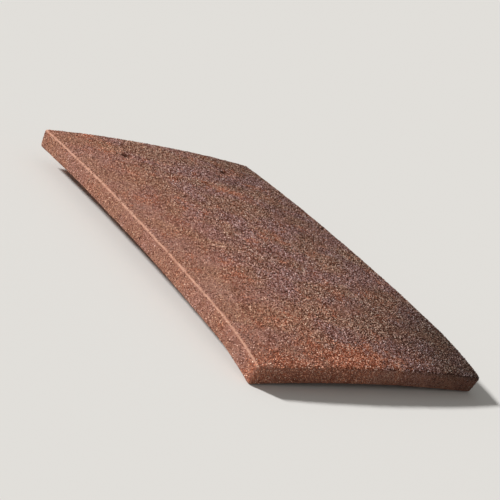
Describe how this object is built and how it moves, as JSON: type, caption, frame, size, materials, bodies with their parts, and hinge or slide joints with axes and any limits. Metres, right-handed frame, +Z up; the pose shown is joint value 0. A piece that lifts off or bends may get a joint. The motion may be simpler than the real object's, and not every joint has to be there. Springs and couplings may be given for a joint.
{
  "type": "clay roof tile",
  "caption": "Cambered plain roof tile of sand-faced fired clay, with nibs that hook over a batten and holes for nails.",
  "frame": {"origin": "on the floor, below the middle of the tile's box", "axes": "+Y up the slope from the tail to the head, +Z up with the sanded face up, +X across"},
  "size_m": [0.165, 0.264, 0.0255],
  "materials": {
    "fired_clay": "matte coarse sand facing, brown to brick red with fire-darkened patches"
  },
  "bodies": {
    "root": {"roof_tile": "fired_clay"}
  },
  "joints": []
}
